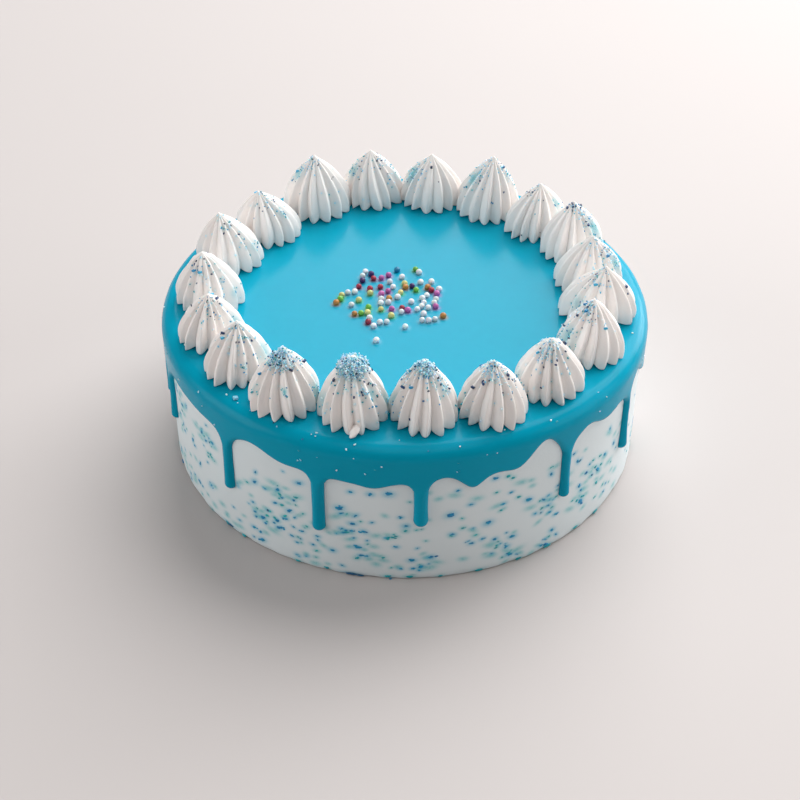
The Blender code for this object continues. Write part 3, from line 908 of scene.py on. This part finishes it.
def dollop_radius(index):
    """Widest radius of a dollop: up to its neighbours, less half the gap between them."""
    place = dollop_place(index)
    beside = [dollop_place((index + step) % len(DOLLOPS)) for step in (-1, 1)]
    nearest = min(np.linalg.norm(place - other) for other in beside)
    return min(DOLLOP_WIDEST, 0.5 * (nearest - GAP))


def dollop_rings(index):
    """Rings of points of one dollop from its toes to its peak, its peak, and its coarse crystals
    as (share of the height, rib, turn, tilt)."""
    azimuth, _, tall, lean_out, lean_round, crystals = DOLLOPS[index]
    draw = random.Random(DOLLOP_SEED + index)

    def each_rib(low, high):
        """A random number for each rib."""
        return np.array([draw.uniform(low, high) for _ in range(RIBS)])

    first_rib = draw.uniform(0.0, 2.0 * math.pi / RIBS)
    twist = math.radians(draw.uniform(-DOLLOP_TWIST, DOLLOP_TWIST))
    coarse = []
    for _ in range(crystals):
        on_rib = draw.uniform(0.6, 0.92), draw.randrange(RIBS)
        coarse.append((*on_rib, draw.uniform(0.0, math.pi), draw.uniform(-0.6, 0.6)))
    crest_size = 1.0 + RIB_UNEVEN * each_rib(-1, 1)
    crest_turn = each_rib(-RIB_TURN, RIB_TURN)
    groove = 1.0 + GROOVE_UNEVEN * each_rib(-1, 1)
    valley = RIB_VALLEY + each_rib(*VALLEY_SHIFT)
    toe_drop = each_rib(0.0, 1.0)
    sway = each_rib(0.0, 2.0 * math.pi)
    away = directions(azimuth)[0]
    wide, deep = PRESSED_MORE.get(index + 1, PRESSED)
    radius = wide * dollop_radius(index)
    stretch = deep * DOLLOP_WIDEST / radius - 1.0
    lean = (away * lean_out + directions(azimuth + 90.0)[0] * lean_round) * MM
    centre = dollop_place(index) + np.array((0.0, 0.0, GLAZE_TOP + 0.05 * MM))

    rib, step = np.divmod(np.arange(RIBS * RIB_POINTS), RIB_POINTS)
    phase = step / RIB_POINTS
    left, right = rib, (rib + 1) % RIBS
    low = valley[rib]
    to_valley = np.where(phase < low, phase / low, (1.0 - phase) / (1.0 - low))
    on_bar = np.sin(math.pi * ((phase - low) % 1.0))
    nearer = np.where(phase < 0.5, left, right)
    lift = TOE_LIFT * (1.0 - on_bar) + TOE_DROP * toe_drop[nearer] * (1.0 - to_valley)
    spreads, depths = (smooth_through(DOLLOP_OUTLINE, column, LEVELS) for column in (1, 2))
    rings = []
    for level, spread, depth in zip(LEVELS, spreads, depths):
        blunt = BLUNT_PEAKS.get(index + 1, 0.0)
        spread += 0.15 * blunt * math.exp(-(((level - 0.88) / 0.09) ** 2))
        at_toe = max(0.0, 1.0 - level / TOE_SHARE)
        reach = radius * spread * (crest_size[nearer] - depth * groove[rib] * to_valley**PLEAT)
        reach += TOE_FLICK * at_toe**2 * on_bar
        turned = crest_turn + RIB_SWAY * np.sin(sway + 4.0 * level) * (1.0 - level)
        spot = rib + phase + turned[left] * (1.0 - phase) + turned[right] * phase
        angle = first_rib + twist * level + 2.0 * math.pi * spot / RIBS
        ring = np.column_stack([np.cos(angle) * reach, np.sin(angle) * reach, 0.0 * reach])
        ring += np.outer(ring @ away, away) * stretch
        ring[:, 2] = level * tall * MM + at_toe**1.5 * lift
        ring += centre + lean * level**1.5
        past = np.linalg.norm(ring[:, :2], axis=1) - (CAKE_RADIUS - CAKE_SHOULDER)
        past = np.clip(past / GLAZE_SHOULDER, 0.0, 0.95)
        ring[:, 2] -= GLAZE_SHOULDER * (1.0 - np.sqrt(1.0 - past**2)) * (1.0 - level) ** 3
        for axis in range(3):
            ring[:, axis] += LUMPS[1] * (1.0 - level) * wander(ring, LUMPS[0], 20.0 * axis)
        rings.append(ring)
    return np.array(rings), centre + lean + np.array((0.0, 0.0, tall * MM)), coarse


CREAM_LIGHT = (0.94, 0.89, 0.86)
CREAM_DARK = (0.90, 0.865, 0.845)
cream, tree, shader = food_material(
    "whipped_cream", CREAM_LIGHT, roughness=0.45, subsurface_weight=0.12,
    subsurface_scale=0.5 * MM, subsurface_radius=(1.0, 0.85, 0.75), ior=1.4,
)
mottle = grained(tree, shader, 1.2 * MM, 1.0, 0.05 * MM)
shade = blended(tree, mottle, CREAM_LIGHT, CREAM_DARK)
shade = stained(tree, shade, "sugar_stain", (0.10, 0.58, 0.66), 900.0, 0.4, 1.3)
tree.links.new(shade, shader.inputs["Base Color"])

# Sugar on each dollop: its number, the way it lies seen from above in degrees from the front,
# the share of the height, the spread of both, the depth of the heap in mm, the number of grains
SUGAR_ON_DOLLOPS = (
    (1, -10, 0.90, 78, 0.055, 1.0, 1000), (1, 0, 0.66, 50, 0.10, 0.0, 60),
    (2, 0, 0.93, 80, 0.045, 0.7, 400), (2, -95, 0.74, 14, 0.10, 0.3, 70),
    (2, 60, 0.72, 20, 0.10, 0.0, 45), (19, -40, 0.86, 38, 0.06, 0.8, 430),
    (19, 60, 0.83, 30, 0.07, 0.2, 60), (19, -90, 0.97, 90, 0.02, 0.4, 50),
    (3, -20, 0.87, 60, 0.08, 0.4, 130), (3, 80, 0.7, 25, 0.12, 0.1, 40),
    (4, -30, 0.86, 60, 0.08, 0.4, 120), (4, 20, 0.6, 60, 0.18, 0.0, 30),
    (5, -50, 0.84, 50, 0.09, 0.3, 110), (5, -75, 0.4, 18, 0.12, 0.2, 50),
    (6, -50, 0.8, 50, 0.12, 0.1, 60), (7, 70, 0.72, 30, 0.14, 0.3, 90),
    (8, 70, 0.72, 35, 0.14, 0.3, 80), (8, -30, 0.92, 60, 0.05, 0.2, 40),
    (9, -90, 0.85, 50, 0.09, 0.2, 60), (10, -70, 0.8, 45, 0.12, 0.3, 100),
    (10, 80, 0.8, 30, 0.12, 0.1, 40), (11, -80, 0.66, 25, 0.13, 0.4, 90),
    (12, -80, 0.7, 30, 0.13, 0.2, 60), (12, 80, 0.75, 25, 0.1, 0.1, 40),
    (13, -70, 0.88, 60, 0.08, 0.3, 90), (14, 60, 0.85, 50, 0.1, 0.1, 55),
    (15, 50, 0.75, 50, 0.15, 0.0, 35), (16, 20, 0.75, 50, 0.18, 0.0, 40),
    (17, 20, 0.8, 50, 0.15, 0.1, 45), (18, 10, 0.78, 50, 0.15, 0.0, 50),
)
# Patches where sugar has run: dollop, way it lies, share of the height, size in mm, strength
RUN_PATCHES = (
    (5, -78, 0.2, 2.0, 0.6), (9, 75, 0.62, 1.6, 0.4), (10, 85, 0.6, 1.8, 0.4),
    (1, -10, 0.88, 3.2, 0.4), (2, 0, 0.93, 2.0, 0.4), (19, -40, 0.88, 2.2, 0.4),
    (19, 85, 0.28, 2.6, 0.55), (19, -70, 0.36, 1.2, 0.5), (19, 5, 0.52, 0.8, 0.8),
    (1, -80, 0.3, 2.0, 0.4), (1, 88, 0.22, 2.2, 0.5), (1, 50, 0.5, 1.4, 0.5),
    (2, -88, 0.3, 2.0, 0.4), (2, 60, 0.62, 1.4, 0.45), (3, -80, 0.25, 1.8, 0.35),
    (4, -85, 0.3, 1.8, 0.35), (5, -70, 0.38, 2.4, 0.6), (6, -60, 0.4, 1.8, 0.4),
    (7, 80, 0.5, 2.6, 0.6), (7, 30, 0.3, 1.4, 0.35), (8, 75, 0.55, 2.6, 0.6),
    (8, 60, 0.25, 1.8, 0.4), (9, 60, 0.4, 1.8, 0.35), (10, -75, 0.6, 2.2, 0.6),
    (11, -85, 0.6, 2.6, 0.7), (12, -80, 0.62, 2.2, 0.5), (12, 85, 0.5, 1.6, 0.35),
    (13, -75, 0.7, 2.0, 0.5), (14, 60, 0.6, 1.4, 0.35), (15, 70, 0.4, 1.6, 0.35),
    (16, 60, 0.35, 1.4, 0.35), (17, 75, 0.4, 2.0, 0.5), (18, 80, 0.4, 2.4, 0.55),
    (18, 20, 0.4, 0.9, 0.5),
)
SPECKS_EACH = 16
SUGAR_SEED = 33
GRAIN_KINDS = ("sky", "blue", "teal", "navy")
# How many grains of each kind there are in a heap, strewn by it, and as specks
HEAP_MIX = (84, 9, 3, 4)
STREWN_MIX = (55, 17, 14, 14)
SPECK_MIX = (40, 20, 22, 18)
HIGHEST_GRAIN = 0.985
GRAIN_SIZES = {"sky": (0.4, 0.95), "blue": (0.4, 0.85), "teal": (0.4, 0.8), "navy": (0.45, 1.1)}
CRYSTAL = (1.5 * MM, 0.9 * MM, 0.8 * MM)
CRYSTAL_SUNK = 0.06 * MM
grain_places = {kind: [] for kind in GRAIN_KINDS}
sugar_draw = random.Random(SUGAR_SEED)


def lay_grain(spot, normal, kind, lift=0.0):
    """A grain of sugar lying on a surface or in a heap, turned any way."""
    length = sugar_draw.uniform(*GRAIN_SIZES[kind]) * MM * (0.8 if lift > 0.0 else 1.0)
    loose = 0.5 if lift == 0.0 else 1.0
    facing = Vector(normal) + loose * Vector([sugar_draw.gauss(0, 1) for _ in range(3)])
    facing.normalize()
    along = facing.cross(Vector([sugar_draw.gauss(0, 1) for _ in range(3)])).normalized()
    across = facing.cross(along)
    thick = 0.5 * min(0.55 * length, 0.42 * MM)
    centre = np.array(spot) + np.array(normal) * (0.5 * thick + lift)
    half = np.array(along) * 0.5 * length, np.array(across) * 1.2 * thick, np.array(facing) * thick
    grain_places[kind].append((centre, *half))


def place_on(rings, bearing, level):
    """Row and column of the ring point nearest to a bearing and a share of the height."""
    row = int(np.argmin(np.abs(LEVELS - min(max(level, 0.04), 0.99))))
    out = rings[row] - rings[row].mean(axis=0)
    bearings = np.degrees(np.arctan2(out[:, 0], -out[:, 1]))
    return row, int(np.argmin(np.abs(around(bearings, bearing))))


for index in range(len(DOLLOPS)):
    rings, peak, coarse = dollop_rings(index)
    foot = rings[0].mean(axis=0) + np.array((0.0, 0.0, TOE_LIFT))
    dollop = lofted(f"piped_dollop_{index + 1:02d}", rings, foot, peak + (0.0, 0.0, 0.1 * MM))
    dress(dollop, cream, f"dollop_{index + 1:02d}")

    normals = np.array([vert.normal for vert in dollop.data.vertices])[:-2].reshape(rings.shape)
    stain = np.zeros(len(dollop.data.vertices))
    grains = []
    for number, bearing, share, turn, spread, heap, count in SUGAR_ON_DOLLOPS:
        if number != index + 1:
            continue
        mix = HEAP_MIX if heap > 0.25 else STREWN_MIX
        for _ in range(count):
            level = sugar_draw.gauss(share, spread)
            level = 2.0 * HIGHEST_GRAIN - level if level > HIGHEST_GRAIN else level
            within = math.exp(-(((level - share) / (1.6 * spread)) ** 2))
            depth = heap * MM * sugar_draw.random() * within
            kind = sugar_draw.choices(GRAIN_KINDS, mix)[0]
            grains.append((sugar_draw.gauss(bearing, turn), level, kind, depth))
    for _ in range(SPECKS_EACH):
        kind = sugar_draw.choices(GRAIN_KINDS, SPECK_MIX)[0]
        grains.append((sugar_draw.uniform(-180, 180), sugar_draw.uniform(0.05, 0.95), kind, 0.0))
    for number, bearing, share, size, strength in RUN_PATCHES:
        if number == index + 1:
            middle = rings[place_on(rings, bearing, share)]
            reach = np.linalg.norm((rings - middle) * (1.0, 1.0, 0.7), axis=2).ravel()
            halo = 1.4 * strength * np.exp(-((reach / (1.1 * size * MM)) ** 2))
            stain[:-2] = np.maximum(stain[:-2], halo)
            for _ in range(round(9 * size)):
                near = sugar_draw.gauss(bearing, 9 * size), sugar_draw.gauss(share, 0.035 * size)
                grains.append((*near, sugar_draw.choice(("sky", "teal", "teal", "blue")), 0.0))
    for bearing, level, kind, depth in grains:
        row, column = place_on(rings, bearing, level)
        here, below = rings[row, column], rings[row - 1, column]
        beside = rings[row, (column + 1) % rings.shape[1]]
        spot = here + sugar_draw.random() * (beside - here) + sugar_draw.random() * (below - here)
        lay_grain(spot, normals[row, column], kind, depth)
        if kind in ("sky", "teal") and depth == 0.0:
            reach = np.linalg.norm(rings - spot, axis=2).ravel()
            stain[:-2] = np.maximum(stain[:-2], 0.3 * np.exp(-((reach / (0.7 * MM)) ** 2)))
    keep_values(dollop, "sugar_stain", stain)
    for level, rib, turn, tilt in coarse:
        place = int(np.argmin(np.abs(LEVELS - level))), rib * RIB_POINTS
        turned = np.array(Matrix.Rotation(turn, 3, "Z") @ Matrix.Rotation(tilt, 3, "X"))
        half = turned.T * np.array(CRYSTAL)[:, None] * 0.5
        kind = "blue" if turn < 0.9 else "navy"
        grain_places[kind].append((rings[place] - CRYSTAL_SUNK * normals[place], *half))

# Flap of cream
# A short tongue that the nozzle smeared out at the front foot of the first dollop when it was
# lifted away, so it lies half under the ribs and half on the glaze.
FLAP_PLACE = np.array((-17.0, -83.4, 63.0)) * MM
flap_along = np.array((-0.8, -1.8, -1.6)) * MM
flap_across = np.array((1.5, -0.7, 0.4)) * MM
flap_up = np.array((0.2, -0.5, 0.9)) * MM
ball_points, ball_faces = pebble(3, 0.04, 2)
ball_points = ball_points * (1.0 + 0.25 * wander(ball_points, 0.7, 4.0)[:, None])
flap_points = ball_points @ np.array([flap_along, flap_across, flap_up]) + FLAP_PLACE
flap = mesh_object("cream_flap", flap_points, ball_faces)
keep_values(flap, "sugar_stain", np.zeros(len(flap_points)))
dress(flap, cream, "dollop_01")

# Blue sugar
# Coarse sanding sugar in sky blue, teal and navy, strewn over the peaks last of all: it heaps
# on the front dollops, and stray grains lie on the others and on the glaze at the rim.
RIM_GRAINS = 75
RIM_MIX = (80, 5, 13, 2)
for _ in range(RIM_GRAINS):
    azimuth = sugar_draw.uniform(0, 360)
    run = sugar_draw.uniform(85, 99) * MM
    spot = on_base(azimuth, np.array([run]), GLAZE_FULL)[0]
    lay_grain(spot, (0, 0, 1), sugar_draw.choices(GRAIN_KINDS, RIM_MIX)[0])

# One larger crystal lies by itself at the front left of the rim: its azimuth, how far out it
# lies, and its half length, breadth and height
LARGE_CRYSTAL = (-42.8, 86.0 * MM)
LARGE_CRYSTAL_SIZE = np.array(((0.8, 0.2, 0), (-0.2, 0.7, 0), (0, 0, 0.6))) * MM
spot = on_base(LARGE_CRYSTAL[0], np.array(LARGE_CRYSTAL[1:]), GLAZE_FULL + 0.5 * MM)[0]
grain_places["sky"].append((spot, *LARGE_CRYSTAL_SIZE))

SUGAR_COLOURS = {
    "sky": ((0.22, 0.62, 0.82), (0.88, 0.97, 1.0)),
    "blue": ((0.0, 0.17, 0.42), (0.05, 0.46, 0.70)),
    "teal": ((0.0, 0.30, 0.40), (0.10, 0.60, 0.66)),
    "navy": ((0.0, 0.008, 0.04), (0.0, 0.05, 0.18)),
}


def crystal(seed):
    """A rough block of sugar with its corners knocked off, as (points, faces)."""
    draw = random.Random(seed)
    bm = bmesh.new()
    bmesh.ops.create_cube(bm, size=2.0)
    bmesh.ops.bevel(bm, geom=bm.edges[:], offset=0.35, segments=1, affect="EDGES")
    for vert in bm.verts:
        vert.co *= 1.0 + draw.uniform(-0.12, 0.12)
    bmesh.ops.triangulate(bm, faces=bm.faces)
    bm.verts.index_update()
    points = np.array([vert.co for vert in bm.verts])
    faces = [tuple(vert.index for vert in face.verts) for face in bm.faces]
    bm.free()
    return points, faces


crystals = [crystal(seed) for seed in range(5)]
for kind, places in grain_places.items():
    material = sugar_material(f"{kind}_sugar", *SUGAR_COLOURS[kind], roughness=0.3)
    piece = scattered(f"blue_sugar_{kind}", crystals, places, material)
    piece.data.shade_flat()

# Table, light and camera
# A pale matt table top under one large soft light from behind and above on the right, with
# weak light from everywhere else, seen from in front and above.
TABLE_SIZE = 12.0
TABLE_LIGHT = (0.525, 0.492, 0.483)
TABLE_DARK = (0.505, 0.473, 0.465)
# Place, size in metres, power and colour of each light; all of them look at the same place
LIGHTS = {
    "window_light": ((0.7, 1.25, 1.42), 2.5, 73.0, (1.0, 0.99, 0.98)),
    "low_window": ((1.5, 1.3, 0.45), 0.9, 12.0, (1.0, 1.0, 1.0)),
    "ceiling_light": ((0.1, -0.6, 1.5), 1.4, 5.5, (1.0, 0.93, 0.88)),
    "right_fill": ((1.5, -0.2, 0.6), 1.2, 6.5, (0.98, 1.0, 1.0)),
    "left_fill": ((-1.5, -0.3, 0.5), 1.2, 9.5, (0.99, 1.0, 1.0)),
}
LIGHT_AIM = Vector((0.0, 0.0, 0.03))
CAMERA_TARGET = Vector((-1.8 * MM, 0.0, 10.3 * MM))
CAMERA_DISTANCE = 597 * MM
CAMERA_ELEVATION = math.radians(38.29)
table_half = TABLE_SIZE / 2
corners = [(x * table_half, y * table_half, 0.0) for x, y in ((-1, -1), (1, -1), (1, 1), (-1, 1))]
table = mesh_object("table_top", corners, [(0, 1, 2, 3)])
table_material, tree, shader = food_material("matt_table", TABLE_LIGHT, roughness=0.7)
fibre = add_node(tree, "TexNoise", {"Scale": 30.0, "Detail": 4.0})
shade = blended(tree, fibre.outputs["Fac"], TABLE_LIGHT, TABLE_DARK)
tree.links.new(shade, shader.inputs["Base Color"])
table.data.materials.append(table_material)

for name, (place, size, power, colour) in LIGHTS.items():
    light = bpy.data.lights.new(name, "AREA")
    light.shape = "DISK"
    light.size = size
    light.energy = power
    light.color = colour
    lamp = bpy.data.objects.new(name, light)
    lamp.location = place
    lamp.rotation_euler = (LIGHT_AIM - Vector(place)).to_track_quat("-Z", "Y").to_euler()
    bpy.context.scene.collection.objects.link(lamp)

world = bpy.data.worlds.new("pale_room")
world.use_nodes = True
background = world.node_tree.nodes["Background"]
background.inputs["Color"].default_value = (0.96, 0.97, 1.0, 1.0)
background.inputs["Strength"].default_value = 0.17
bpy.context.scene.world = world
bpy.context.scene.view_settings.view_transform = "Standard"

lens = bpy.data.cameras.new("camera")
lens.sensor_width = 36.0
lens.lens = 67.5
camera = bpy.data.objects.new("camera", lens)
behind = Vector((0.0, -math.cos(CAMERA_ELEVATION), math.sin(CAMERA_ELEVATION)))
camera.location = CAMERA_TARGET + CAMERA_DISTANCE * behind
camera.rotation_euler = (QUARTER_TURN - CAMERA_ELEVATION, 0.0, 0.0)
bpy.context.scene.collection.objects.link(camera)
bpy.context.scene.camera = camera
